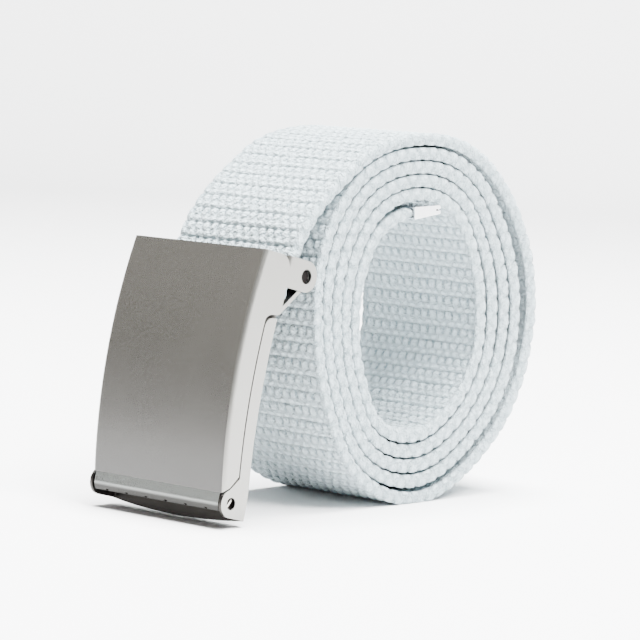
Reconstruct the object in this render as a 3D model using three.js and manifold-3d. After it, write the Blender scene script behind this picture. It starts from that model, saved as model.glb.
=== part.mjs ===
// A canvas web belt, rolled up and standing on its rim with its flip-top buckle outermost.
// Millimetres and degrees, +Z up. The roll's axis is X; the buckle faces -Y and leans back on the roll.
import * as THREE from "three";
import { mergeVertices } from "three/addons/utils/BufferGeometryUtils.js";
import Module from "manifold-3d";

// Webbing
const webbingWidth = 38;
const webbingThickness = 3;
const webbingEdgeRadius = 0.8;

// Roll: the webbing winds in from the buckle, over the top, down the back and round to its metal tip
const rollRadius = 46;
const rollTurns = 5;
const stepAngle = 5;
const leaveAngle = 124; // where the outer turn leaves the roll for the buckle
const tipAngle = 104; // where the innermost turn ends and the metal tip starts
const floorPress = 0.25; // how much the floor flattens the lowest stretch
const tipLift = 0.85; // how far the tip springs off the turn outside it
const tipLiftAngle = 40;
const looseStart = 0.55; // turns after the top line at which the slack under the outer turn begins
const looseEnd = 1.1;

// One row for every 30 degrees of the roll. The angle runs from +Y towards +Z; radius is a share of
// rollRadius, pitch and slack (the extra room under the outer turn) are shares of webbingThickness.
const rollSides = [
  { side: "back", angle: 4, radius: 1.054, pitch: 1.57, slack: 0.63 },
  { side: "upper back", angle: 34, radius: 1.028, pitch: 1.41, slack: 0.7 },
  { side: "back of the top", angle: 64, radius: 1.013, pitch: 1.23, slack: 0.2 },
  { side: "top", angle: 94, radius: 0.989, pitch: 1.1, slack: 0.07 },
  { side: "front of the top", angle: 124, radius: 1.007, pitch: 1.2, slack: 0 },
  { side: "upper front", angle: 154, radius: 0.967, pitch: 1.28, slack: 0 },
  { side: "front", angle: 184, radius: 0.88, pitch: 1.11, slack: 0 },
  { side: "lower front", angle: 214, radius: 0.896, pitch: 1.11, slack: 0 },
  { side: "front of the floor", angle: 244, radius: 0.991, pitch: 1.14, slack: 0 },
  { side: "floor", angle: 274, radius: 1.046, pitch: 1.27, slack: 0.2 },
  { side: "back of the floor", angle: 304, radius: 1.035, pitch: 1.31, slack: 0.4 },
  { side: "lower back", angle: 334, radius: 1.054, pitch: 1.48, slack: 0.43 },
];
const topAngle = rollSides[3].angle;

// Buckle
const sheet = 0.8;
const sideGap = 0.35; // between the webbing, the ears and the cover's walls
const buckleLean = 12.5; // back from upright
const buckleAhead = 21.6; // from the roll's nominal front forward to the hinge pin
const buckleBend = 1.2; // outer radius of the bent sheet
const coverLength = 58.9;
const coverCrownUp = 34; // height of the front's fullest line above the hinge pin
const coverCrown = 6.8; // how far that line stands in front of the pin
const coverArcRadius = 140;
const coverBottomUp = 1.4; // lower end of the cover's front plate
const wallDepth = 4.6; // how far the top end of the cover's walls reaches behind the pin
const wallStep = 44.8; // height at which the walls become shallow
const wallCorner = 3.4;
const seamFront = 0.45; // the seam between the walls and the flanges, in front of the pin
const seamArcRadius = 170;
const seamGap = 0.4;
const seamBottom = 6;
const plateCrownUp = 31;
const plateBack = 3.9; // rear face of the frame's plate behind the pin, at its crown
const plateArcRadius = 190;
const plateStraightUp = 2; // below this height the plate runs straight
const flangeTop = 43.9;
const flangeCorner = 2.6;
const lipBow = 1.4; // how much the plate's lower edge bows
const hingeEarRadius = 3.3;
const hingePinRadius = 1.15;
const hingeHoleRadius = 1.45;
const hingeBlend = 113; // angle at which the hinge ear's rim meets the seam
const camFront = 3.05;
const camFlat = 2.1; // the cam's flat underside below the pin
const camNose = 4.6;
const dimpleCount = 6;
const dimplePitch = 6.4;
const dimpleRadius = 0.55;
const dimpleDepth = 0.5;
const pinRecess = 0.6;

// Clamp that holds the webbing's fixed end
const clampPinUp = 55.5;
const clampPinBack = 12.2;
const clampEarRadius = 3.7;
const clampPinRadius = 1.35;
const clampHoleRadius = 1.75;
const clampBarrelRadius = 2.8;
const leverThickness = 1;
const leverLength = 11.5; // from the pin to the lever's free edge
const leverSlope = 42.5; // the closed lever's angle to the buckle's length
const clampedShare = 0.87; // thickness of the squeezed end, as a share of webbingThickness
const clampedEndUp = 49.5;
const clampExit = 5; // how far above the pin the webbing comes free
const leadOut = 12.5; // how softly the webbing leaves the roll
const leadIn = 9.5; // and enters the clamp

// Metal tip
const tipLength = 10;
const tipMouth = 3.1;
const tipNose = 2.2;
const tipCorner = 0.5;
const tipSheet = 0.4;
const tipStart = 2.1; // how far past the last full turn it begins
const tipDrift = 1.06; // how far its nose runs out past the curve of its own turn
const tipSide = 0.7; // how far it stands past the webbing on each side
const tipRoom = 0.2; // between the webbing's faces and the tip's inside
const tipSlit = 0.4; // where its folds meet at the nose
const tipSlitLength = 1.7;

const arcSteps = 22;
const roundSides = 20;
const beyond = 30; // more than any cut has to reach

const radians = THREE.MathUtils.degToRad;
const earInside = webbingWidth / 2 + sideGap;
const earOutside = earInside + sheet;
const wallInside = earOutside + sideGap;
const wallOutside = wallInside + sheet;
const camHalfWidth = wallInside - sideGap * 1.4;

const colours = {
  webbing: { color: 0xdfe7ea, roughness: 0.95, metalness: 0 },
  nickel: { color: 0xa8a59f, roughness: 0.36, metalness: 1 },
  bright: { color: 0xe6e6e8, roughness: 0.2, metalness: 1 },
};

const wasm = await Module();
wasm.setup();

// A closed geometry as a solid that can be cut and joined.
function solidOf(geometry) {
  const bare = geometry.clone();
  bare.deleteAttribute("normal");
  bare.deleteAttribute("uv");
  const merged = mergeVertices(bare, 1e-4);
  return new wasm.Manifold(
    new wasm.Mesh({
      numProp: 3,
      vertProperties: merged.attributes.position.array,
      triVerts: new Uint32Array(merged.index.array),
    }),
  );
}

function meshOf(name, solid, finish) {
  const { numProp, vertProperties, triVerts } = solid.getMesh();
  const positions = new Float32Array((vertProperties.length / numProp) * 3);
  for (let i = 0; i < positions.length / 3; i++)
    positions.set(vertProperties.subarray(i * numProp, i * numProp + 3), i * 3);
  const geometry = new THREE.BufferGeometry();
  geometry.setAttribute("position", new THREE.BufferAttribute(positions, 3));
  geometry.setIndex(new THREE.BufferAttribute(triVerts, 1));
  geometry.computeVertexNormals();
  const mesh = new THREE.Mesh(geometry, new THREE.MeshStandardMaterial(colours[finish]));
  mesh.name = name;
  return mesh;
}

// A profile drawn with x as "back" and y as "up", made solid across the buckle's width.
const acrossWidth = new THREE.Matrix4().makeBasis(
  new THREE.Vector3(0, 1, 0),
  new THREE.Vector3(0, 0, 1),
  new THREE.Vector3(1, 0, 0),
);

function across(shape, from, to) {
  const options = { depth: to - from, bevelEnabled: false, curveSegments: 8 };
  return solidOf(
    new THREE.ExtrudeGeometry(shape, options).translate(0, 0, from).applyMatrix4(acrossWidth),
  );
}

function rodAcross(radius, from, to, back, up) {
  const rod = new THREE.CylinderGeometry(radius, radius, to - from, roundSides);
  rod.rotateZ(Math.PI / 2);
  rod.translate((from + to) / 2, back, up);
  return solidOf(rod);
}

// A closed solid through rings of points, each ring running the same way round.
function loft(rings, outline) {
  const count = rings[0].length;
  const positions = rings.flat().flatMap((p) => [p.x, p.y, p.z]);
  const index = [];
  for (let ring = 0; ring < rings.length - 1; ring++)
    for (let i = 0; i < count; i++) {
      const a = ring * count + i;
      const b = ring * count + ((i + 1) % count);
      index.push(a, b, b + count, a, b + count, a + count);
    }
  const last = (rings.length - 1) * count;
  for (const [a, b, c] of THREE.ShapeUtils.triangulateShape(outline, [])) {
    index.push(a, c, b);
    index.push(last + a, last + b, last + c);
  }
  const geometry = new THREE.BufferGeometry();
  geometry.setAttribute("position", new THREE.Float32BufferAttribute(positions, 3));
  geometry.setIndex(index);
  return geometry;
}

// A rectangle's outline, anticlockwise, with its own radius at the low-y and the high-y corners.
function roundedOutline(halfWidth, low, high, lowRadius, highRadius, steps = 4) {
  const points = [];
  const corners = [
    { x: halfWidth, y: low, r: lowRadius, start: -90, sx: -1, sy: 1 },
    { x: halfWidth, y: high, r: highRadius, start: 0, sx: -1, sy: -1 },
    { x: -halfWidth, y: high, r: highRadius, start: 90, sx: 1, sy: -1 },
    { x: -halfWidth, y: low, r: lowRadius, start: 180, sx: 1, sy: 1 },
  ];
  for (const { x, y, r, start, sx, sy } of corners)
    for (let i = 0; i <= steps; i++) {
      const angle = radians(start + (90 * i) / steps);
      points.push(
        new THREE.Vector2(x + sx * r + r * Math.cos(angle), y + sy * r + r * Math.sin(angle)),
      );
    }
  return points;
}

// How far back a shallow arc lies at a height, bowed to the front, crowned at crownUp.
const arcBack = (up, crownBack, crownUp, radius) =>
  crownBack + radius - Math.sqrt(radius ** 2 - (up - crownUp) ** 2);
const coverFrontAt = (up) => arcBack(up, -coverCrown, coverCrownUp, coverArcRadius);
const plateRearAt = (up) =>
  arcBack(Math.max(up, plateStraightUp), plateBack, plateCrownUp, plateArcRadius);
const seamAt = (up) => arcBack(up, -seamFront, plateCrownUp, seamArcRadius);
const steps = (from, to, count = arcSteps) =>
  Array.from({ length: count + 1 }, (_, i) => from + ((to - from) * i) / count);

// A bar of rounded section that follows an arc up the buckle, from its face at faceAt(up) to `end`.
function curvedBar(halfWidth, faceAt, end, from, to, lowRadius, highRadius) {
  const rings = steps(from, to).map((up) => {
    const face = faceAt(up);
    return roundedOutline(
      halfWidth,
      Math.min(face, end),
      Math.max(face, end),
      lowRadius,
      highRadius,
    ).map((p) => new THREE.Vector3(p.x, p.y, up));
  });
  return solidOf(loft(rings, roundedOutline(1, 0, 1, lowRadius / beyond, highRadius / beyond)));
}

// The hinge ear's rim and the seam above it, drawn upwards; `gap` moves the line to the cover's side.
function drawSeam(shape, gap, top) {
  shape.absarc(0, 0, hingeEarRadius + gap, -Math.PI, radians(hingeBlend) - 2 * Math.PI, true);
  for (const up of steps(seamBottom + gap, top, 12)) shape.lineTo(seamAt(up) - gap, up);
}

// The cover: front plate and side walls in one, with the cam that turns on the hinge pin.
function makeCover() {
  const side = new THREE.Shape();
  side.moveTo(-beyond, coverBottomUp);
  side.lineTo(-hingeEarRadius - seamGap, coverBottomUp);
  side.lineTo(-hingeEarRadius - seamGap, 0);
  drawSeam(side, seamGap, wallStep - wallCorner / 2);
  side.quadraticCurveTo(seamAt(wallStep), wallStep, wallDepth - 1, wallStep);
  side.lineTo(wallDepth, wallStep + 1);
  side.absarc(wallDepth - wallCorner, coverLength - wallCorner, wallCorner, 0, Math.PI / 2, false);
  side.lineTo(-beyond, coverLength);

  const innerFace = (up) => coverFrontAt(up) + sheet;
  const shell = curvedBar(wallOutside, coverFrontAt, beyond, -1, coverLength + 1, buckleBend, 1)
    .subtract(
      curvedBar(wallInside, innerFace, 2 * beyond, -2, coverLength + 2, buckleBend - sheet, 1),
    )
    .intersect(across(side, -beyond, beyond));

  const cam = new THREE.Shape();
  cam.moveTo(-camFront, coverBottomUp + 1);
  cam.lineTo(-camFront, 0);
  cam.absarc(0, 0, camFront, -Math.PI, -Math.PI + Math.asin(camFlat / camFront), false);
  cam.lineTo(camFlat * 0.8, -camFlat);
  cam.lineTo(camNose, 0.1);
  cam.lineTo(camNose - 0.5, 1.4);
  cam.lineTo(0.4, camFront);
  cam.lineTo(-camFront + 0.6, camFront + 0.2);
  const bore = rodAcross(hingeHoleRadius, -beyond, beyond, 0, 0);
  let cover = shell.add(across(cam, -camHalfWidth, camHalfWidth)).subtract(bore);
  for (let i = 0; i < dimpleCount; i++) {
    const x = (i - (dimpleCount - 1) / 2) * dimplePitch;
    const dimple = new THREE.ConeGeometry(dimpleRadius, 2 * dimpleDepth, 8);
    const tilt = radians(45);
    const reach = camFront * 0.985;
    dimple.rotateX(-tilt);
    dimple.translate(x, -reach * Math.sin(tilt), -reach * Math.cos(tilt));
    cover = cover.subtract(solidOf(dimple));
  }
  return meshOf("flip_cover", cover, "nickel");
}

// The frame: a bent plate with flanges forward for the hinge and ears backward for the clamp.
function makeFrame() {
  const plateFrontAt = (up) => plateRearAt(up) - sheet;
  const lipUp = -hingeEarRadius - lipBow;

  const flange = new THREE.Shape();
  flange.moveTo(beyond, lipUp);
  flange.lineTo(plateFrontAt(0), lipUp);
  flange.lineTo(plateFrontAt(0), -hingeEarRadius);
  flange.lineTo(0, -hingeEarRadius);
  flange.absarc(0, 0, hingeEarRadius, -Math.PI / 2, -Math.PI, true);
  drawSeam(flange, 0, flangeTop - flangeCorner);
  flange.quadraticCurveTo(seamAt(flangeTop), flangeTop, seamAt(flangeTop) + flangeCorner, flangeTop);
  flange.lineTo(beyond, flangeTop);
  const channel = curvedBar(wallOutside, plateRearAt, -beyond, lipUp - 1, flangeTop + 1, 1, buckleBend)
    .subtract(
      curvedBar(wallInside, plateFrontAt, -2 * beyond, lipUp - 2, flangeTop + 2, 1, buckleBend - sheet),
    )
    .intersect(across(flange, -beyond, beyond));

  const ear = new THREE.Shape();
  const earLow = clampPinUp - clampEarRadius;
  ear.moveTo(-beyond, flangeTop - 1);
  ear.lineTo(plateRearAt(flangeTop), flangeTop - 1);
  for (const up of steps(flangeTop, earLow - 1, 5)) ear.lineTo(plateRearAt(up), up);
  ear.quadraticCurveTo(plateRearAt(earLow), earLow, plateRearAt(earLow) + 1.5, earLow);
  ear.absarc(clampPinBack, clampPinUp, clampEarRadius, -Math.PI / 2, Math.PI / 2, false);
  ear.lineTo(-beyond, clampPinUp + clampEarRadius);
  const top = clampPinUp + clampEarRadius;
  const bracket = curvedBar(earOutside, plateFrontAt, beyond, flangeTop - 2, top + 1, buckleBend, 1)
    .subtract(
      curvedBar(earInside, plateRearAt, 2 * beyond, flangeTop - 3, top + 2, buckleBend - sheet, 1),
    )
    .intersect(across(ear, -beyond, beyond));

  // The plate's lower edge bows down in the middle.
  const bow = new THREE.Shape();
  bow.moveTo(wallOutside + 1, beyond * 3);
  bow.lineTo(-wallOutside - 1, beyond * 3);
  bow.lineTo(-wallOutside - 1, -hingeEarRadius);
  for (const x of steps(-wallOutside, wallOutside, 10))
    bow.lineTo(x, -hingeEarRadius - lipBow * (1 - (x / wallOutside) ** 2));
  bow.lineTo(wallOutside + 1, -hingeEarRadius);
  const front = new THREE.ExtrudeGeometry(bow, { depth: 2 * beyond, bevelEnabled: false });
  front.translate(0, 0, -beyond).rotateX(Math.PI / 2);

  const frame = channel
    .add(bracket)
    .intersect(solidOf(front))
    .subtract(rodAcross(hingeHoleRadius, -beyond, beyond, 0, 0))
    .subtract(rodAcross(clampHoleRadius, -beyond, beyond, clampPinBack, clampPinUp));
  return meshOf("buckle_frame", frame, "nickel");
}

// The lever turns on its pin between the rear ears and wedges the webbing's end against the plate.
function makeLever() {
  const halfWidth = earInside - sideGap;
  const slope = radians(leverSlope);
  const down = new THREE.Vector2(-Math.sin(slope), -Math.cos(slope));
  const rear = new THREE.Vector2(Math.cos(slope), -Math.sin(slope));
  const at = (along, out) =>
    new THREE.Vector2(clampPinBack, clampPinUp).addScaledVector(down, along).addScaledVector(rear, out);
  const plate = new THREE.Shape([
    at(0, clampBarrelRadius),
    at(0, clampBarrelRadius - leverThickness),
    at(leverLength, clampBarrelRadius - leverThickness),
    at(leverLength, clampBarrelRadius),
  ]);
  const lever = rodAcross(clampBarrelRadius, -halfWidth, halfWidth, clampPinBack, clampPinUp)
    .add(across(plate, -halfWidth, halfWidth))
    .subtract(
      rodAcross(clampPinRadius + sideGap, -beyond, beyond, clampPinBack, clampPinUp),
    );
  return meshOf("clamp_lever", lever, "nickel");
}

function makePin(name, radius, reach, back, up) {
  return meshOf(name, rodAcross(radius, -reach, reach, back, up), "nickel");
}

// A column of rollSides at any angle, on a smooth closed curve through the rows.
function rollValue(column, angle) {
  const count = rollSides.length;
  const turn = THREE.MathUtils.euclideanModulo(angle - rollSides[0].angle, 360) / (360 / count);
  const row = Math.floor(turn);
  const t = turn - row;
  const [a, b, c, d] = [-1, 0, 1, 2].map((i) => rollSides[(row + i + count) % count][column]);
  return b + (t / 2) * (c - a + t * (2 * a - 5 * b + 4 * c - d + t * (3 * (b - c) + d - a)));
}

// Radius of the webbing's middle line; the angle falls by 360 with each turn inwards.
function middleRadius(angle) {
  const turns = (topAngle - angle) / 360;
  const loose = THREE.MathUtils.smoothstep(turns, looseStart, looseEnd);
  const inwards = rollValue("pitch", angle) * turns + rollValue("slack", angle) * loose + 0.5;
  const end = tipAngle - 360 * rollTurns;
  const lift = tipLift * (1 - THREE.MathUtils.smoothstep(angle, end, end + tipLiftAngle));
  return rollRadius * rollValue("radius", angle) - webbingThickness * inwards - lift;
}

const rollPoint = (angle) =>
  new THREE.Vector2(Math.cos(radians(angle)), Math.sin(radians(angle))).multiplyScalar(
    middleRadius(angle),
  );

// Height of the roll's centre line: its lowest turn sinks by floorPress into the floor, which flattens it.
const rollCentre = new THREE.Vector2(
  0,
  Math.max(
    ...steps(0, 360, 360 / stepAngle).map((turned) => {
      const angle = leaveAngle - turned;
      return -(middleRadius(angle) + webbingThickness / 2) * Math.sin(radians(angle));
    }),
  ) - floorPress,
);

// The buckle's lip stands on the floor, which sets the height of the hinge pin.
const lean = radians(buckleLean);
const lipLow =
  (hingeEarRadius + lipBow) * Math.cos(lean) + plateRearAt(0) * Math.sin(lean);
const buckleOrigin = new THREE.Vector2(-rollRadius - buckleAhead, lipLow);
const onBuckle = (back, up) =>
  new THREE.Vector2(back, up).rotateAround(new THREE.Vector2(), -lean).add(buckleOrigin);

// Stations along the webbing's middle line, from the clamp to the tip, with the thickness at each.
function webbingStations() {
  const stations = [];
  const clampedBack = (up, thickness) => plateRearAt(up) + sideGap + 0.15 + thickness / 2;
  const endThickness = webbingThickness * clampedShare;
  const pinThickness = webbingThickness * 0.98;
  const end = onBuckle(clampedBack(clampedEndUp, endThickness), clampedEndUp);
  const atPin = onBuckle(clampedBack(clampPinUp, pinThickness), clampPinUp);
  const inClamp = atPin.clone().sub(end).normalize();
  const exitBack = clampedBack(clampPinUp, pinThickness) + clampExit * 0.3;
  const exit = onBuckle(exitBack, clampPinUp + clampExit);
  const exitWay = exit.clone().sub(atPin).normalize().add(inClamp).normalize();
  stations.push({ at: end, thickness: endThickness });
  stations.push({ at: atPin, thickness: pinThickness });

  const leave = rollPoint(leaveAngle).add(rollCentre);
  const next = rollPoint(leaveAngle - stepAngle / 4).add(rollCentre);
  const leaveWay = leave.clone().sub(next).normalize();
  const lead = new THREE.CubicBezierCurve(
    exit,
    exit.clone().addScaledVector(exitWay, leadIn),
    leave.clone().addScaledVector(leaveWay, leadOut),
    leave,
  );
  for (const at of lead.getPoints(9).slice(0, -1)) stations.push({ at, thickness: webbingThickness });

  const lastAngle = tipAngle - 360 * rollTurns;
  const count = Math.round((leaveAngle - lastAngle) / stepAngle);
  for (const angle of steps(leaveAngle, lastAngle, count))
    stations.push({ at: rollPoint(angle).add(rollCentre), thickness: webbingThickness });

  // The squeezed stretch inside the tip runs straight on.
  const mouth = stations.at(-1).at;
  const way = rollPoint(lastAngle).sub(rollPoint(lastAngle + 0.1)).normalize();
  const reach = tipStart + tipLength;
  const curve = reach / (2 * rollPoint(lastAngle).length());
  way.rotateAround(new THREE.Vector2(), tipDrift / reach - curve);
  const mouthInside = tipMouth - 2 * (tipSheet + tipRoom);
  const noseInside = tipNose - 2 * (tipSheet + tipRoom);
  const tipEnd = tipStart + tipLength - 2 * tipSheet - tipRoom;
  stations.push({ at: mouth.clone().addScaledVector(way, tipStart - 0.3), thickness: mouthInside });
  stations.push({ at: mouth.clone().addScaledVector(way, tipEnd), thickness: noseInside });
  const tipAt = mouth.clone().addScaledVector(way, tipStart);
  return { stations, tipAt, way };
}

const { stations, tipAt, way: tipWay } = webbingStations();

function makeWebbing() {
  const section = (thickness) =>
    roundedOutline(
      webbingWidth / 2,
      -thickness / 2,
      thickness / 2,
      Math.min(webbingEdgeRadius, thickness * 0.45),
      Math.min(webbingEdgeRadius, thickness * 0.45),
      1,
    );
  const rings = stations.map(({ at, thickness }, i) => {
    const before = stations[Math.max(i - 1, 0)].at;
    const after = stations[Math.min(i + 1, stations.length - 1)].at;
    const along = after.clone().sub(before).normalize();
    const outward = new THREE.Vector2(-along.y, along.x);
    return section(thickness).map((p) => {
      const place = at.clone().addScaledVector(outward, p.y);
      return new THREE.Vector3(p.x, place.x, Math.max(place.y, 0));
    });
  });
  return meshOf("webbing_strap", solidOf(loft(rings.reverse(), section(webbingThickness))), "webbing");
}

// A metal cap crimped over the webbing's free end, with a short slit at its nose on each side.
function makeTip() {
  const outer = new THREE.Shape();
  outer.moveTo(0, tipMouth / 2);
  outer.lineTo(0, -tipMouth / 2);
  outer.lineTo(tipLength - tipCorner, -tipNose / 2);
  outer.quadraticCurveTo(tipLength, -tipNose / 2, tipLength, tipCorner - tipNose / 2);
  outer.lineTo(tipLength, tipNose / 2 - tipCorner);
  outer.quadraticCurveTo(tipLength, tipNose / 2, tipLength - tipCorner, tipNose / 2);
  const inner = new THREE.Shape();
  inner.moveTo(-1, tipMouth / 2 - tipSheet);
  inner.lineTo(-1, -tipMouth / 2 + tipSheet);
  inner.lineTo(tipLength - tipSheet, tipSheet - tipNose / 2);
  inner.lineTo(tipLength - tipSheet, tipNose / 2 - tipSheet);
  const slit = new THREE.Shape();
  slit.moveTo(tipLength + 1, tipSlit / 2);
  slit.lineTo(tipLength - tipSlitLength, tipSlit / 2);
  slit.lineTo(tipLength - tipSlitLength, -tipSlit / 2);
  slit.lineTo(tipLength + 1, -tipSlit / 2);
  const halfWidth = webbingWidth / 2 + tipSide;
  const inside = halfWidth - tipSheet;
  const tip = across(outer, -halfWidth, halfWidth)
    .subtract(across(inner, -inside, inside))
    .subtract(across(slit, inside - 0.1, beyond))
    .subtract(across(slit, -beyond, 0.1 - inside));
  const mesh = meshOf("strap_tip", tip, "bright");
  mesh.position.set(0, tipAt.x, tipAt.y);
  mesh.rotation.x = tipWay.angle();
  return mesh;
}

const buckle = new THREE.Group();
buckle.position.set(0, buckleOrigin.x, buckleOrigin.y);
buckle.rotation.x = -lean;
buckle.add(
  makeFrame(),
  makeCover(),
  makePin("hinge_pin", hingePinRadius, wallOutside - pinRecess, 0, 0),
  makeLever(),
  makePin("clamp_pin", clampPinRadius, earOutside - pinRecess, clampPinBack, clampPinUp),
);

// The origin is on the floor under the middle of the whole belt.
const belt = new THREE.Group();
belt.add(makeWebbing(), makeTip(), buckle);
belt.updateMatrixWorld(true);
const middle = new THREE.Box3().setFromObject(belt, true).getCenter(new THREE.Vector3());
belt.position.set(-middle.x, -middle.y, 0);

export default belt;
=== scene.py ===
import math

import bmesh
import bpy
import numpy as np
from mathutils import Matrix, Vector


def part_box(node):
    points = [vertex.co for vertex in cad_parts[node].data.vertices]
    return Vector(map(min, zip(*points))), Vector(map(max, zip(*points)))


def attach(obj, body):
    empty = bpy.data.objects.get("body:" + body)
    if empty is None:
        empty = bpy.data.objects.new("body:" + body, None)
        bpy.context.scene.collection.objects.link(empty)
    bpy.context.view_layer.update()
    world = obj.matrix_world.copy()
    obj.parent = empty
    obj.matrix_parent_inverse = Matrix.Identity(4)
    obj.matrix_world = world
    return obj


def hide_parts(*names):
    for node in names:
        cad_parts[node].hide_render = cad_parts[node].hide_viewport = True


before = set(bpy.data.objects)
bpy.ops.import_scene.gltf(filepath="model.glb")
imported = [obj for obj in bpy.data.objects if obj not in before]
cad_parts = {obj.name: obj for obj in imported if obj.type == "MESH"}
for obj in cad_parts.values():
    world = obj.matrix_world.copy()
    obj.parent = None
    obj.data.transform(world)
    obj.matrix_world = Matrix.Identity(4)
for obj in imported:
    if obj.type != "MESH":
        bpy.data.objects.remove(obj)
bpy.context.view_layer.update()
mm = 0.001

camera = {
    "place": (0.50025, -0.5810, 0.1140),
    "backward": (0.6518, -0.7530, 0.0908),  # from the belt to the camera
    "right": (0.7524, 0.6570, 0.0471),
    "focalPixels": 3128,
    "framePixels": 640,
    "sensor": 36,
}


def addCamera(values):
    data = bpy.data.cameras.new("photoCamera")
    eye = bpy.data.objects.new("photoCamera", data)
    bpy.context.scene.collection.objects.link(eye)
    backward = Vector(values["backward"]).normalized()
    right = Vector(values["right"])
    right = (right - backward * right.dot(backward)).normalized()
    up = backward.cross(right)
    turned = Matrix((right, up, backward)).transposed().to_4x4()
    eye.matrix_world = Matrix.Translation(values["place"]) @ turned
    data.sensor_width = values["sensor"]
    data.lens = values["focalPixels"] / values["framePixels"] * values["sensor"]
    data.clip_start = 0.02
    data.clip_end = 60
    bpy.context.scene.camera = eye


addCamera(camera)
print("camera in place")


# A shader socket that can be used in plain sums.
class Channel:
    def __init__(self, tree, socket):
        self.tree = tree
        self.socket = socket

    def maths(self, operation, other=None, flipped=False):
        first, second = (other, self) if flipped else (self, other)
        inputs = {0: first} if other is None else {0: first, 1: second}
        return addNode(self.tree, "ShaderNodeMath", {"operation": operation}, inputs)

    def __add__(self, other):
        return self.maths("ADD", other)

    def __radd__(self, other):
        return self.maths("ADD", other, True)

    def __sub__(self, other):
        return self.maths("SUBTRACT", other)

    def __rsub__(self, other):
        return self.maths("SUBTRACT", other, True)

    def __mul__(self, other):
        return self.maths("MULTIPLY", other)

    def __rmul__(self, other):
        return self.maths("MULTIPLY", other, True)

    def __truediv__(self, other):
        return self.maths("DIVIDE", other)

    def __pow__(self, other):
        return self.maths("POWER", other)


def addNode(tree, kind, settings=None, inputs=None, output=0):
    node = tree.nodes.new(kind)
    for name, value in (settings or {}).items():
        setattr(node, name, value)
    for name, value in (inputs or {}).items():
        if isinstance(value, Channel):
            tree.links.new(value.socket, node.inputs[name])
        else:
            node.inputs[name].default_value = value
    return Channel(tree, node.outputs[output])


def mixColours(tree, factor, first, second):
    first, second = [c if isinstance(c, Channel) else (*c, 1) for c in (first, second)]
    inputs = {0: factor, 6: first, 7: second}
    return addNode(tree, "ShaderNodeMix", {"data_type": "RGBA"}, inputs, 2)


def noise(tree, place, scale, detail=2, roughness=0.5, spread=0.5):
    inputs = {"Vector": place, "Scale": scale, "Detail": detail, "Roughness": roughness}
    raw = addNode(tree, "ShaderNodeTexNoise", {}, inputs)
    limits = {"From Min": 0.5 - spread, "From Max": 0.5 + spread}
    return addNode(tree, "ShaderNodeMapRange", {}, {"Value": raw, **limits})


def smoothStep(tree, value, low, high):
    ends = {"Value": value, "From Min": low, "From Max": high}
    return addNode(tree, "ShaderNodeMapRange", {"interpolation_type": "SMOOTHSTEP"}, ends)


def objectPlace(tree):
    return addNode(tree, "ShaderNodeTexCoord", output=3)


def newMaterial(name, steady):
    material = bpy.data.materials.new(name)
    material.use_nodes = True
    shader = material.node_tree.nodes["Principled BSDF"]
    for socket, value in steady.items():
        shader.inputs[socket].default_value = value
    return material, material.node_tree, shader


def feed(tree, shader, **channels):
    for name, channel in channels.items():
        tree.links.new(channel.socket, shader.inputs[name.replace("_", " ")])


def bump(tree, height, distance):
    inputs = {"Height": height, "Distance": distance, "Strength": 1.0}
    return addNode(tree, "ShaderNodeBump", {}, inputs)


webbing = {
    "width": 38,
    "thickness": 3,
    "edge": 1.2,  # depth of the rounded edge
    "period": 4.05,  # two weft rows
    "grains": 14,  # warp grains across the flat of a face
    "crown": 0.07,  # the grains' tops over the nominal face
    "depth": 0.75,  # from a grain's top to the gap beside it
    "hiddenDepth": 0.12,  # how far a face that another turn hides lies under the nominal one
    "scallop": 0.38,  # how far the edge draws in between two knobs
    "pinch": 0.34,  # and how far it thins there
    "unevenness": 0.05,  # of the grains' heights
    "fray": 0.09,  # and of the edge
    "drift": 0.02,  # how far the grains wander from even places, in grains
    "selvedge": 0.42,  # share of the room beside a turn that the edge's thickness takes up
    "pressedHalf": 0.7,  # half thickness at which the relief is pressed flat
    "pressedRange": 0.75,  # and how much more of it brings the whole relief back
    "reach": 0.6,  # how far ahead and behind the band's direction is taken
    "wobble": [(0.05, 1.7, 0), (0.04, 0.61, 2)],  # sideways waves: size, rate, phase
}

# The webbing follows the CAD band: the roll's radius, pitch and slack every 30 degrees.
rollWay = {
    "radius": 46,
    "turns": 5,
    "leaveAngle": 124,
    "tipAngle": 104,
    "topAngle": 94,
    "floorPress": 0.25,
    "tipLift": 0.85,
    "tipLiftAngle": 40,
    "looseStart": 0.55,
    "looseEnd": 1.1,
    "middleBack": 11.795,
    "outerShown": 375,  # degrees of the outer face that are woven, from where it meets the roll
    "innerShown": 385,  # and of the inner face, from the tip
    "sides": [
        (4, 1.054, 1.57, 0.63),
        (34, 1.028, 1.41, 0.7),
        (64, 1.013, 1.23, 0.2),
        (94, 0.989, 1.1, 0.07),
        (124, 1.007, 1.2, 0),
        (154, 0.967, 1.28, 0),
        (184, 0.88, 1.11, 0),
        (214, 0.896, 1.11, 0),
        (244, 0.991, 1.14, 0),
        (274, 1.046, 1.27, 0.2),
        (304, 1.035, 1.31, 0.4),
        (334, 1.054, 1.48, 0.43),
    ],
}

clampWay = {
    "hingeBack": -67.6,
    "hingeUp": 5.915,
    "lean": 12.5,
    "pinUp": 55.5,
    "endUp": 49.5,
    "exit": 5,
    "plateBack": 3.9,
    "plateCrownUp": 31,
    "plateRadius": 190,
    "gap": 0.5,
    "leadOut": 12.5,
    "leadIn": 9.5,
    "endShare": 0.87,  # thickness of the pressed end and at the pin, as shares of the whole
    "pinShare": 0.98,
    "room": 0.3,
    "steps": 40,
}

# The band's end inside the metal tip: its way, and its thickness at the tip's mouth and nose.
tipWay = {
    "droop": 8,
    "start": 2.1,
    "length": 10,
    "mouth": 1.9,
    "nose": 1.0,
    "mouthIn": 0.3,
    "noseIn": 1.0,
}


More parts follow.
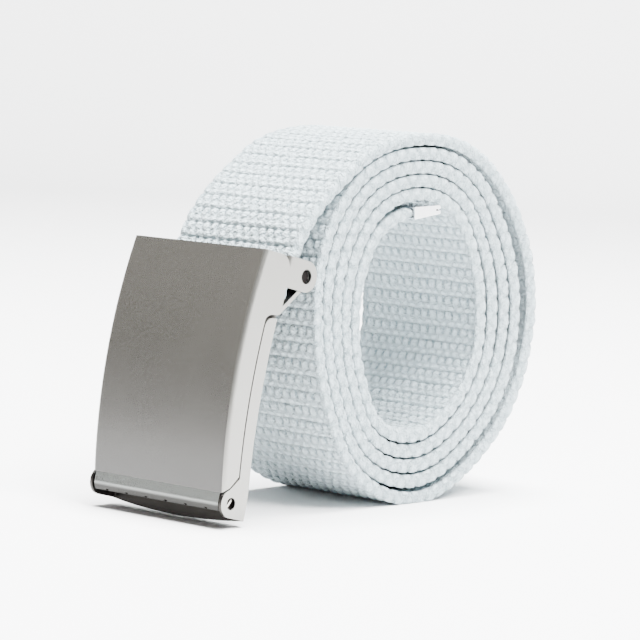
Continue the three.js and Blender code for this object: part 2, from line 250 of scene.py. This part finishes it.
def smooth(value, low, high):
    t = min(max((value - low) / (high - low), 0), 1)
    return t * t * (3 - 2 * t)


def rollValue(column, angle):
    sides = rollWay["sides"]
    turn = ((angle - sides[0][0]) % 360) / (360 / len(sides))
    row = int(turn)
    t = turn - row
    a, b, c, d = [sides[(row + i) % len(sides)][column] for i in (-1, 0, 1, 2)]
    return b + (t / 2) * (c - a + t * (2 * a - 5 * b + 4 * c - d + t * (3 * (b - c) + d - a)))


def rollPoint(angle):
    turns = (rollWay["topAngle"] - angle) / 360
    loose = smooth(turns, rollWay["looseStart"], rollWay["looseEnd"])
    inwards = rollValue(2, angle) * turns + rollValue(3, angle) * loose + 0.5
    end = rollWay["tipAngle"] - 360 * rollWay["turns"]
    lift = rollWay["tipLift"] * (1 - smooth(angle, end, end + rollWay["tipLiftAngle"]))
    radius = rollWay["radius"] * rollValue(1, angle) - webbing["thickness"] * inwards - lift
    way = math.radians(angle)
    return np.array([math.cos(way), math.sin(way)]) * radius


def unit(v):
    return v / np.linalg.norm(v)


def turnedBy(v, degrees):
    c, s = math.cos(math.radians(degrees)), math.sin(math.radians(degrees))
    return np.array([c * v[0] - s * v[1], s * v[0] + c * v[1]])


def rollCentre():
    low = max(
        -(np.linalg.norm(rollPoint(a)) + webbing["thickness"] / 2) * math.sin(math.radians(a))
        for a in range(rollWay["leaveAngle"] - 360, rollWay["leaveAngle"] + 1, 5)
    )
    return np.array([rollWay["middleBack"], low - rollWay["floorPress"]])


def onBuckle(back, up):
    origin = np.array([clampWay["hingeBack"] + rollWay["middleBack"], clampWay["hingeUp"]])
    return turnedBy(np.array([back, up]), -clampWay["lean"]) + origin


def plateRear(up):
    radius = clampWay["plateRadius"]
    bow = radius - math.sqrt(radius**2 - (up - clampWay["plateCrownUp"]) ** 2)
    return clampWay["plateBack"] + bow


# Points of the middle line in millimetres, back and up, each with the band's thickness there.
def webbingWay():
    thick = webbing["thickness"]
    endThick, pinThick = thick * clampWay["endShare"], thick * clampWay["pinShare"]
    pinUp, endUp = clampWay["pinUp"], clampWay["endUp"]
    end = onBuckle(plateRear(endUp) + clampWay["gap"] + endThick / 2, endUp)
    pinBack = plateRear(pinUp) + clampWay["gap"] + pinThick / 2
    atPin = onBuckle(pinBack, pinUp)
    leaving = onBuckle(pinBack + clampWay["exit"] * 0.3, pinUp + clampWay["exit"])
    leavingWay = unit(unit(leaving - atPin) + unit(atPin - end))
    centre = rollCentre()
    leaveAngle = rollWay["leaveAngle"]
    meets = rollPoint(leaveAngle) + centre
    meetsWay = unit(meets - rollPoint(leaveAngle - 1.25) - centre)
    points = [(end, endThick), (atPin, pinThick)]
    b0, b3 = leaving, meets
    b1 = leaving + leavingWay * clampWay["leadIn"]
    b2 = meets + meetsWay * clampWay["leadOut"]
    for t in np.linspace(0, 1, clampWay["steps"], endpoint=False):
        at = (1 - t) ** 3 * b0 + 3 * t * (1 - t) ** 2 * b1 + 3 * t * t * (1 - t) * b2 + t**3 * b3
        points.append((at, thick))
    marks = {"fineStart": len(points) - clampWay["steps"]}
    room = [clampWay["room"]] * len(points)
    lastAngle = rollWay["tipAngle"] - 360 * rollWay["turns"]
    for angle in range(leaveAngle, lastAngle - 1, -1):
        if angle == leaveAngle - rollWay["outerShown"]:
            marks["outerEnd"] = len(points)
        if angle == lastAngle + rollWay["innerShown"]:
            marks["innerStart"] = len(points)
        points.append((rollPoint(angle) + centre, thick))
        room.append((rollValue(2, angle) - 1) * thick)
    way = turnedBy(unit(rollPoint(lastAngle) - rollPoint(lastAngle + 0.1)), -tipWay["droop"])
    mouth = points[-1][0]
    noseAhead = tipWay["start"] + tipWay["length"] - tipWay["noseIn"]
    points.append((mouth + way * (tipWay["start"] - tipWay["mouthIn"]), tipWay["mouth"]))
    points.append((mouth + way * noseAhead, tipWay["nose"]))
    marks["room"] = np.array(room + [0, 0])
    return np.array([p for p, _ in points]), np.array([t for _, t in points]), marks


# One period of the weave. Widths are in grains, and places and lengths along it are in periods.
weaveForms = {
    "tall": {"at": 0.29, "width": 0.4, "length": 0.29, "height": 0.86},
    "low": {"at": 0.78, "width": 0.45, "length": 0.2},
    "gap": {"at": 0.25, "width": 0.3, "length": 0.27},
    "line": {"length": 0.07, "depth": 0.3},
    "ground": 0.42,
}


# Height of the weave, 0 in the gaps to 1 on the grains: a row of tall grains with open gaps, then a
# row of low ones half a grain along, then a fine line. It works on arrays and on shader channels.
def weaveHeight(u, v, fraction, distance, larger):
    along = fraction(v)
    fromGap = distance(fraction(u + 0.5), 0.5)

    def off(name):
        return distance(along, weaveForms[name]["at"]) / weaveForms[name]["length"]

    tall = ((0.5 - fromGap) / weaveForms["tall"]["width"]) ** 2.5 + off("tall") ** 3
    low = (fromGap / weaveForms["low"]["width"]) ** 2 + off("low") ** 2
    gap = (fromGap / weaveForms["gap"]["width"]) ** 2 + off("gap") ** 2
    line = larger(1 - distance(fraction(v + 0.5), 0.5) / weaveForms["line"]["length"], 0)
    hole = 1 - larger(1 - gap, 0) ** 0.5
    ground = weaveForms["ground"] * hole - line * weaveForms["line"]["depth"]
    tallTops = larger(1 - tall, 0) ** 0.5 * weaveForms["tall"]["height"]
    return larger(larger(ground, tallTops), larger(1 - low, 0) ** 0.55)


rowSteps = [0.0, 0.08, 0.26, 0.46, 0.58, 0.76, 0.92]
columnSteps = [0, 0.14, 0.32, 0.5, 0.68, 0.86]
edgeSteps = [(0.7, 0.93), (1, 0.42), (1, -0.42), (0.7, -0.93)]  # shares of edge and half thickness
edgeU = np.array([0.12, 0.38, 0.62, 0.88])


def makeWebbing():
    points, thickness, marks = webbingWay()
    lengths = np.concatenate([[0], np.cumsum(np.linalg.norm(np.diff(points, axis=0), axis=1))])
    total = lengths[-1]
    periods = round(total / webbing["period"])
    v = np.array([k + step for k in range(periods) for step in rowSteps] + [periods])
    s = v * total / periods
    reach = webbing["reach"]
    centre = np.stack([np.interp(s, lengths, points[:, i]) for i in (0, 1)], 1)
    ahead = np.stack([np.interp(s + reach, lengths, points[:, i]) for i in (0, 1)], 1)
    behind = np.stack([np.interp(s - reach, lengths, points[:, i]) for i in (0, 1)], 1)
    along = ahead - behind
    along /= np.linalg.norm(along, axis=1)[:, None]
    outward = np.stack([-along[:, 1], along[:, 0]], 1)
    half = np.interp(s, lengths, thickness) / 2
    squeezed = np.clip((half - webbing["pressedHalf"]) / webbing["pressedRange"], 0, 1)
    room = np.interp(s, lengths, marks["room"]) * webbing["selvedge"]
    outerFine = (s > lengths[marks["fineStart"]]) & (s < lengths[marks["outerEnd"]])
    innerFine = s > lengths[marks["innerStart"]]

    grains = webbing["grains"]
    fineU = np.array([k + step for k in range(grains) for step in columnSteps] + [grains])
    plainU = np.array([0, grains])
    flat = webbing["width"] / 2 - webbing["edge"]
    chance = np.random.default_rng(11)
    grainLift = chance.normal(0, webbing["unevenness"], (2, periods + 2, grains + 2))
    fray = chance.normal(0, webbing["fray"], (len(v), 4))

    def face(row, side, fine):
        u = fineU if fine else plainU
        x = (u / grains * 2 - 1) * flat
        if fine:
            along = np.full_like(u, -v[row] if side == 0 else v[row])
            drift = np.sin(u * 2.3 + along * 5.7) + np.sin(u * 5.1 - along * 3.1 + 1)
            h = weaveHeight(
                u + webbing["drift"] * drift,
                along + webbing["drift"] * 0.6 * np.sin(u * 3.7 + along * 2.9 + 2),
                lambda a: a - np.floor(a),
                lambda a, b: abs(a - b),
                np.maximum,
            )
            lift = grainLift[side, int(v[row]), np.minimum(u.astype(int), grains)]
            level = webbing["crown"] - webbing["depth"] * (1 - h) + lift
            level[0] = level[-1] = -webbing["hiddenDepth"]
        else:
            level = np.full(2, -webbing["hiddenDepth"])
        out = half[row] + level * squeezed[row]
        return x, out if side == 0 else -out, u

    # Each edge has two rows of knobs, on its outer and inner half, half a period apart.
    valleys = np.stack([np.abs((v + shift) % 1 - 0.5) * 2 for shift in (0, 0, 0.5, 0.5)], 1) ** 4
    rings = []  # each ring's first point, and how many points its outer and inner faces have
    places, weave = [], []
    for row in range(len(v)):
        xOuter, nOuter, uOuter = face(row, 0, outerFine[row])
        xInner, nInner, uInner = face(row, 1, innerFine[row])
        thin = half[row] + (room[row] - webbing["pinch"] * valleys[row]) * squeezed[row]
        waves = [size * math.sin(v[row] * rate + phase) for size, rate, phase in webbing["wobble"]]
        wobble = sum(waves) * squeezed[row]
        edge = webbing["edge"] + (fray[row] - webbing["scallop"] * valleys[row]) * squeezed[row]
        edgeX = [flat + out * a + wobble for out, (a, _) in zip(edge, edgeSteps)]
        edgeN = [t * b for t, (_, b) in zip(thin, edgeSteps)]
        xs = np.concatenate([xOuter, edgeX, xInner[::-1], [-x for x in edgeX[::-1]]])
        ns = np.concatenate([nOuter, edgeN, nInner[::-1], edgeN[::-1]])
        us = np.concatenate([uOuter, grains + edgeU, uInner[::-1], -edgeU[::-1]])
        y = centre[row, 0] + outward[row, 0] * ns
        z = np.maximum(centre[row, 1] + outward[row, 1] * ns, 0)
        start = sum(len(p) for p in places[-1:]) + (rings[-1][0] if rings else 0)
        rings.append((start, len(xOuter), len(xInner)))
        places.append(np.stack([xs, y, z], 1) * mm)
        weave.append(np.stack([us, np.full_like(us, v[row])], 1))
    verts = np.concatenate(places)
    weave = np.concatenate(weave)

    faces, mirrored = [], []  # on the outer face the weave runs the other way along

    def strip(a, b, count, mirror=False):
        i = np.arange(count - 1)
        faces.extend(np.stack([a + i, a + i + 1, b + i + 1, b + i], 1).tolist())
        mirrored.extend([mirror] * (count - 1))

    def patch(corners, mirror=False):
        faces.append(corners)
        mirrored.append(mirror)

    for (a, ao, ai), (b, bo, bi) in zip(rings, rings[1:]):
        aEdge, bEdge = a + ao - 1, b + bo - 1
        if ao == bo:
            strip(a, b, ao, True)
        else:
            patch([*range(a, a + ao), *range(b + bo - 1, b - 1, -1)], True)
        strip(aEdge, bEdge, 6)
        aIn, bIn = a + ao + 4, b + bo + 4
        if ai == bi:
            strip(aIn, bIn, ai)
        else:
            patch([*range(aIn, aIn + ai), *range(bIn + bi - 1, bIn - 1, -1)])
        aLeft, bLeft = aIn + ai - 1, bIn + bi - 1
        strip(aLeft, bLeft, 5)
        patch([aLeft + 4, a, b, bLeft + 4])
    first, last = rings[0], rings[-1]
    patch(list(range(first[1] + first[2] + 7, -1, -1)))
    patch([last[0] + i for i in range(last[1] + last[2] + 8)])

    mesh = bpy.data.meshes.new("webbing")
    mesh.from_pydata(verts.tolist(), [], faces)
    mesh.update()
    corners = np.zeros(len(mesh.loops), np.int32)
    mesh.loops.foreach_get("vertex_index", corners)
    layer = mesh.uv_layers.new(name="weave")
    place = weave[corners]
    place[np.repeat(mirrored, [len(f) for f in faces]), 1] *= -1
    layer.data.foreach_set("uv", place.astype(np.float32).ravel())
    mesh.shade_smooth()
    band = bpy.data.objects.new("webbing", mesh)
    bpy.context.scene.collection.objects.link(band)
    check = bmesh.new()
    check.from_mesh(mesh)
    print("webbing volume", check.calc_volume(signed=True), "length", total)
    openEdges = sum(1 for e in check.edges if not e.is_manifold)
    triangles = sum(len(f.verts) - 2 for f in check.faces)
    check.free()
    print("webbing", triangles, "triangles,", openEdges, "open edges,", periods, "periods")
    return band, total


webbingFinish = {
    "middle": webbing["grains"] / 2,
    "grain": (0.69, 0.80, 0.84),
    # gap: painted shade for the weave's hollows and the grooves between the edge's knobs
    "gap": (0.13, 0.19, 0.215),
    "shade": (0.47, 0.575, 0.615),
    "bump": 0.0006,
    "fuzz": 0.6,
    "speckle": 0.6,
    "chance": 0.12,  # how much one grain differs from the next
    "blotch": 0.2,
    "warp": (0.2, 0.1),  # how far the lint moves the weave, across and along
    "noises": {  # scale and spread
        "fuzz": (1500, 0.13),
        "lint": (620, 0.17),
        "warp": (390, 0.2),
        "dots": (950, 0.15),
    },
    "outerKnob": {"at": 0.28, "width": 0.28, "length": 0.37},
    "innerKnob": {"at": 0.78, "width": 0.22, "length": 0.32},
    "rimGround": 0.22,
    "rimDots": 0.45,
}


def webbingMaterial(values):
    material, tree, shader = newMaterial(
        "paleCotton", {"Roughness": 0.95, "Sheen Weight": 0.2, "Sheen Roughness": 0.5}
    )
    place = addNode(tree, "ShaderNodeUVMap", {"uv_map": "weave"})
    u = addNode(tree, "ShaderNodeSeparateXYZ", {}, {0: place}, 0)
    v = addNode(tree, "ShaderNodeSeparateXYZ", {}, {0: place}, 1)
    spot = objectPlace(tree)
    scales = values["noises"]
    fuzz = noise(tree, spot, scales["fuzz"][0], 2, 0.6, spread=scales["fuzz"][1])
    lint = noise(tree, spot, scales["lint"][0], 2, 0.6, spread=scales["lint"][1])
    blotch = noise(tree, spot, 60, 2)
    uWarped = u + (lint - 0.5) * values["warp"][0]
    warp = noise(tree, spot, scales["warp"][0], 2, spread=scales["warp"][1])
    vWarped = v + (warp - 0.5) * values["warp"][1]

    def distance(a, b):
        return (a - b).maths("ABSOLUTE")

    def fraction(a):
        return a.maths("FRACT")

    def larger(a, b):
        return a.maths("MAXIMUM", b)

    weave = weaveHeight(uWarped, vWarped, fraction, distance, larger)
    rimSpot = distance(uWarped, values["middle"]) - values["middle"]
    rim = (distance(u, values["middle"]) - values["middle"]).maths("GREATER_THAN", 0.0)

    def knob(row, along):
        across = distance(rimSpot, row["at"]) / row["width"]
        lengthwise = distance(fraction(along), 0.5) / row["length"]
        return larger(1 - (across**2 + lengthwise**2), 0)

    outer = knob(values["outerKnob"], vWarped)
    inner = knob(values["innerKnob"], vWarped + 0.5)
    knobs = larger(outer, inner) ** 0.5
    dots = 1 - noise(tree, spot, scales["dots"][0], 2, 0.6, spread=scales["dots"][1])
    ground = values["rimGround"]
    rimHeight = (ground + knobs * (1 - ground)) * (1 - dots**2 * values["rimDots"])
    height = weave * (1 - rim) + rimHeight * rim
    strand = ((u * 5 + v * 4) * math.tau).maths("SINE") * 0.5 + 0.5
    cell = addNode(
        tree, "ShaderNodeCombineXYZ", {}, {0: u.maths("FLOOR"), 1: (v * 2).maths("FLOOR")}
    )
    chance = addNode(tree, "ShaderNodeTexWhiteNoise", {"noise_dimensions": "2D"}, {"Vector": cell})
    # Painted shade: the lower the relief, the nearer the colour comes to the gap's dark blue.
    colour = mixColours(tree, (1 - height) * 0.95, values["grain"], values["gap"])
    speckle = chance * values["chance"] + fuzz * values["speckle"] * (1 + rim * 0.4)
    colour = mixColours(tree, speckle, colour, values["shade"])
    colour = mixColours(tree, blotch * values["blotch"], colour, values["shade"])
    relief = height + strand * 0.06 + (1 - fuzz) * values["fuzz"] + lint * (0.2 + rim * 0.5)
    feed(tree, shader, Base_Color=colour, Normal=bump(tree, relief, values["bump"]))
    return material


band, bandLength = makeWebbing()
band.data.materials.append(webbingMaterial(webbingFinish))
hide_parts("webbing_strap")
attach(band, "belt")
bandLength * mm
print("webbing made")


metal = {
    "satin": (0.49, 0.47, 0.434),
    # The next three are painted light on the plate's front: shade towards its lower end, a
    # highlight on its bend, and shade below the bend's highlight.
    "footShade": (0.07, 0.069, 0.067),
    "bend": (0.39, 0.41, 0.395),
    "under": (0.032, 0.0315, 0.030),
    "smooth": (0.30, 0.295, 0.277),
    # inside: a little darker than the outer faces, mild painted shade on the inner faces
    "inside": (0.24, 0.235, 0.225),
    "shaded": (0.045, 0.042, 0.039),
    # pit: near black, painted shade in the dimples
    "pit": (0.012, 0.011, 0.01),
    # pin: near black, painted shade for the shade inside the pins' holes
    "pin": (0.006, 0.0046, 0.0042),
    "tip": (0.9, 0.9, 0.92),
}

surfaces = {  # roughness, the grain's scale and depth, and how much the wear darkens
    "satin": (0.28, 5000, 0.0000025, 0.15),
    "smooth": (0.34, 2500, 0.00001, 0.15),
    "inside": (0.4, 2000, 0.00001, 0.15),
    "shaded": (0.45, 2000, 0.00001, 0.15),
    "pit": (0.7, 2000, 0.00001, 0.15),
    "pin": (0.35, 1500, 0.00003, 0.15),
    "tip": (0.16, 1500, 0.00001, 0.08),
}


def metalMaterial(name, colour, values, paintedLight=None, glintBar=None):
    material, tree, shader = newMaterial(name, {"Metallic": 1.0})
    roughness, grain, grainDepth, worn = values
    spot = objectPlace(tree)
    fine = noise(tree, spot, grain, 3, 0.7)
    cloud = noise(tree, spot, 45, 3)
    darker = tuple(c * (1 - worn) for c in colour)
    tone = mixColours(tree, fine * 0.6 + cloud * 0.4, darker, colour)
    rough = roughness * 0.8 + (fine * 0.25 + cloud * 0.15) * roughness
    # Painted light: bands of painted shade and highlight laid on by height.
    if paintedLight:
        up = addNode(tree, "ShaderNodeSeparateXYZ", {}, {0: spot}, 2)
        for shade, low, high in paintedLight:
            tone = mixColours(tree, smoothStep(tree, up, low * mm, high * mm), shade, tone)
    # Painted highlight: a bar of the plain satin colour across the dark pin's end.
    if glintBar:
        y, z = [addNode(tree, "ShaderNodeSeparateXYZ", {}, {0: spot}, i) for i in (1, 2)]
        off = ((y - glintBar["y"]) - (z - glintBar["z"])).maths("ABSOLUTE") / math.sqrt(2)
        tone = mixColours(tree, off.maths("LESS_THAN", glintBar["half"]), tone, metal["satin"])
    relief = bump(tree, fine, grainDepth)
    feed(tree, shader, Base_Color=tone, Roughness=rough, Normal=relief)
    return material


# Painted light on the plate: painted shade darkens it towards its lower end, a painted highlight
# lies on the upper part of its bend, and painted shade below that.
plateLightAndShade = [(metal["footShade"], 9, 62), (metal["bend"], 8.45, 8.6), (metal["under"], 5.3, 7.0)]
hingePin = [(low + high) / 2 for low, high in zip(*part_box("hinge_pin"))][1:]
satin = metalMaterial("satinNickelPaintedLight", metal["satin"], surfaces["satin"], plateLightAndShade)
smoothNickel = metalMaterial("smoothNickel", metal["smooth"], surfaces["smooth"])
innerShadeNickel = metalMaterial("innerShadeNickel", metal["inside"], surfaces["inside"])
shadedNickel = metalMaterial("shadedNickel", metal["shaded"], surfaces["shaded"])
pitMetal = metalMaterial("pitShade", metal["pit"], surfaces["pit"])
# Both pins are near black: painted shade for their holes.
shadedPinMetal = metalMaterial("shadedPinSteel", metal["pin"], surfaces["pin"])
pinGlint = {"y": hingePin[0], "z": hingePin[1], "half": 0.24 * mm}  # a painted highlight: a bright bar across its end
glintedPin = metalMaterial("glintedPin", metal["pin"], surfaces["pin"], glintBar=pinGlint)
tipMetal = metalMaterial("brightTip", metal["tip"], surfaces["tip"])

# Widths of the rounded edges in millimetres, and the angles that count as an edge or as a bend.
edges = {
    "sheet": 0.2,
    "pin": 0.12,
    "tip": 0.05,
    "segments": 2,
    "corner": 35,
    "bend": 40,
    "flat": 0.4,
    "merge": 0.000004,
}


# A copy of a CAD node with its triangles merged, its edges rounded and its bends smooth.
def finished(node, name, body, material, width):
    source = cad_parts[node]
    piece = source.copy()
    piece.data = source.data.copy()
    piece.name = name
    piece.parent = None
    for key in list(piece.keys()):
        del piece[key]
    bpy.context.scene.collection.objects.link(piece)
    bpy.ops.object.select_all(action="DESELECT")
    bpy.context.view_layer.objects.active = piece
    piece.select_set(True)
    bpy.ops.object.mode_set(mode="EDIT")
    bpy.ops.mesh.select_all(action="SELECT")
    bpy.ops.mesh.customdata_custom_splitnormals_clear()
    bpy.ops.mesh.remove_doubles(threshold=edges["merge"])
    bpy.ops.mesh.dissolve_limited(angle_limit=math.radians(edges["flat"]))
    bpy.ops.object.mode_set(mode="OBJECT")
    bevel = piece.modifiers.new("edges", "BEVEL")
    bevel.width = width * mm
    bevel.segments = edges["segments"]
    bevel.limit_method = "ANGLE"
    bevel.angle_limit = math.radians(edges["corner"])
    bevel.miter_outer = "MITER_ARC"
    bpy.ops.object.modifier_apply(modifier="edges")
    bpy.ops.object.shade_smooth_by_angle(angle=math.radians(edges["bend"]))
    flatter = piece.modifiers.new("flatFaces", "WEIGHTED_NORMAL")
    flatter.keep_sharp = True
    bpy.ops.object.modifier_apply(modifier="flatFaces")
    piece.data.materials.clear()
    for each in material if isinstance(material, list) else [material]:
        piece.data.materials.append(each)
    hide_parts(node)
    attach(piece, body)
    return piece


coverMetals = [satin, smoothNickel, innerShadeNickel, pitMetal, shadedNickel]
rearMetals = [smoothNickel, innerShadeNickel, shadedNickel]
cover = finished("flip_cover", "coverPlate", "cover", coverMetals, edges["sheet"])
rear = finished("buckle_frame", "rearPlate", "belt", rearMetals, edges["sheet"])
leverMetals = [smoothNickel, shadedNickel]
lever = finished("clamp_lever", "clampLever", "lever", leverMetals, edges["sheet"])
finished("hinge_pin", "hingePin", "belt", glintedPin, edges["pin"])
finished("clamp_pin", "clampPin", "belt", shadedPinMetal, edges["pin"])
tipMetals = [tipMetal, shadedNickel]
tip = finished("strap_tip", "bandTip", "belt", tipMetals, edges["tip"])
print("buckle dressed")


# Where one finish or painted shade of the metal gives way to the next; lengths in millimetres.
zones = {
    "pitReach": 2.97,  # the dimples' walls are nearer to the hinge pin than this
    "pitAhead": 1.2,
    "pitHalfWidth": 17,
    "shadeUp": 8,  # shade is painted on the metal below this height
    "earUp": 50,  # the clamp ears are bright on both sides above this one
}


def chooseFinish(piece, pick):
    for polygon in piece.data.polygons:
        polygon.material_index = pick(polygon.normal, polygon.center)


# The cover's front is satin, its sides are smoother, and inside it is a little darker with mild
# painted shade; below, and in its dimples, the near-black colour is painted shade.
def coverFinishAndShade(n, at):
    fromPin = math.hypot(at.y - hingePin[0], at.z - hingePin[1])
    ahead = hingePin[0] - at.y > zones["pitAhead"] * mm
    if fromPin < zones["pitReach"] * mm and ahead and abs(at.x) < zones["pitHalfWidth"] * mm:
        return coverMetals.index(pitMetal)
    if abs(n.x) > 0.5:
        return coverMetals.index(smoothNickel if n.x * at.x > 0 else innerShadeNickel)
    if n.z > 0.8:
        return coverMetals.index(smoothNickel)
    if n.y < -0.3:
        return coverMetals.index(satin)
    return coverMetals.index(shadedNickel if at.z < zones["shadeUp"] * mm else innerShadeNickel)


# The frame's inward and frontward faces carry painted shade: near black below the shade height,
# milder up to the ears.
def rearShade(n, at):
    inside = n.x * at.x < 0 and abs(n.x) > 0.5 or n.y < -0.6
    if not inside or at.z > zones["earUp"] * mm:
        return rearMetals.index(smoothNickel)
    return rearMetals.index(shadedNickel if at.z < zones["shadeUp"] * mm else innerShadeNickel)


# The lever's front and underside are painted shade.
def leverShade(n, at):
    return leverMetals.index(shadedNickel if n.z < 0.3 and abs(n.x) < 0.5 else smoothNickel)


# The cap's inside and the slits at its nose are painted shade.
def tipShade(n, at):
    middle = sum((Vector(corner) for corner in tip.bound_box), Vector()) / 8
    return tipMetals.index(shadedNickel if n.dot(middle - at) > 0 else tipMetal)


chooseFinish(cover, coverFinishAndShade)
chooseFinish(rear, rearShade)
chooseFinish(lever, leverShade)
chooseFinish(tip, tipShade)


floor = {
    "flat": 1.4,
    "rise": 0.36,
    "colour": (0.88, 0.885, 0.89),
    "front": (0.22, 0.218, 0.212),  # the part that only the buckle's plate mirrors
    "frontFrom": -0.17,
    "frontTo": -0.42,
    "glow": 1.1,  # the backdrop far behind the belt is lit by itself
    "glowFrom": 0.35,
    "glowTo": 1.7,
    "sides": 128,
    "turn": 60,  # degrees that it curves up
    "steps": 8,
}


# A flat round floor that curves up all round, far outside the belt, so that no horizon shows.
def addFloor(values):
    bpy.ops.object.select_all(action="DESELECT")
    bpy.ops.mesh.primitive_circle_add(
        vertices=values["sides"], radius=values["flat"], fill_type="NGON"
    )
    ground = bpy.context.active_object
    ground.name = "floor"
    bpy.ops.object.mode_set(mode="EDIT")
    bpy.ops.mesh.select_mode(type="EDGE")
    bpy.ops.mesh.select_all(action="SELECT")
    reach = values["flat"]
    for step in range(values["steps"]):
        now, then = [
            math.radians(values["turn"] * (step + i) / values["steps"]) for i in (0, 1)
        ]
        further = values["rise"] * (math.sin(then) - math.sin(now))
        higher = values["rise"] * (math.cos(now) - math.cos(then))
        bpy.ops.mesh.extrude_edges_move(TRANSFORM_OT_translate={"value": (0, 0, higher)})
        grown = (reach + further) / reach
        bpy.ops.transform.resize(value=(grown, grown, 1), center_override=(0, 0, 0))
        reach += further
    bpy.ops.object.mode_set(mode="OBJECT")
    bpy.ops.object.shade_smooth_by_angle(angle=math.radians(30))
    material, tree, shader = newMaterial(
        "paleFloor", {"Roughness": 0.8, "Emission Strength": values["glow"]}
    )
    spot = objectPlace(tree)
    cloud = noise(tree, spot, 6, 2)
    paler = tuple(min(c * 1.03, 1) for c in values["colour"])
    back = addNode(tree, "ShaderNodeSeparateXYZ", {}, {0: spot}, 1)
    pale = mixColours(tree, cloud, values["colour"], paler)
    front = smoothStep(tree, back, values["frontTo"], values["frontFrom"])
    glow = smoothStep(tree, back, values["glowFrom"], values["glowTo"])
    feed(
        tree,
        shader,
        Base_Color=mixColours(tree, front, values["front"], pale),
        Emission_Color=mixColours(tree, glow, (0, 0, 0), (1, 1, 1)),
    )
    ground.data.materials.append(material)


lights = {
    "above": {"place": (0.0, 0.15, 1.6), "size": (0.8, 0.8), "power": 205},
    "side": {"place": (0.75, -0.05, 1.25), "size": (0.6, 0.6), "power": 70},
}
aimUp = 0.045  # the lamps point at the middle of the belt
# The studio is pale behind the belt and dimmer on the side that the buckle faces.
sky = {
    "bright": (1.0, 1.0, 1.0),
    "dim": (0.66, 0.647, 0.622),
    "dimTo": -0.35,
    "brightFrom": 0.25,
    "strength": 0.66,
}


def addLights(rows, world):
    for name, row in rows.items():
        data = bpy.data.lights.new(name, "AREA")
        data.shape = "RECTANGLE"
        data.size, data.size_y = row["size"]
        data.energy = row["power"]
        lamp = bpy.data.objects.new(name, data)
        bpy.context.scene.collection.objects.link(lamp)
        lamp.location = row["place"]
        away = Vector(row["place"]) - Vector((0, 0, aimUp))
        lamp.rotation_euler = away.to_track_quat("Z", "Y").to_euler()
    background = bpy.data.worlds.new("studio")
    background.use_nodes = True
    tree = background.node_tree
    shader = tree.nodes["Background"]
    way = addNode(tree, "ShaderNodeTexCoord", output=0)
    back = addNode(tree, "ShaderNodeSeparateXYZ", {}, {0: way}, 1)
    share = smoothStep(tree, back, world["dimTo"], world["brightFrom"])
    colour = mixColours(tree, share, world["dim"], world["bright"])
    tree.links.new(colour.socket, shader.inputs["Color"])
    shader.inputs["Strength"].default_value = world["strength"]
    bpy.context.scene.world = background


addFloor(floor)
addLights(lights, sky)
print("floor and light set")
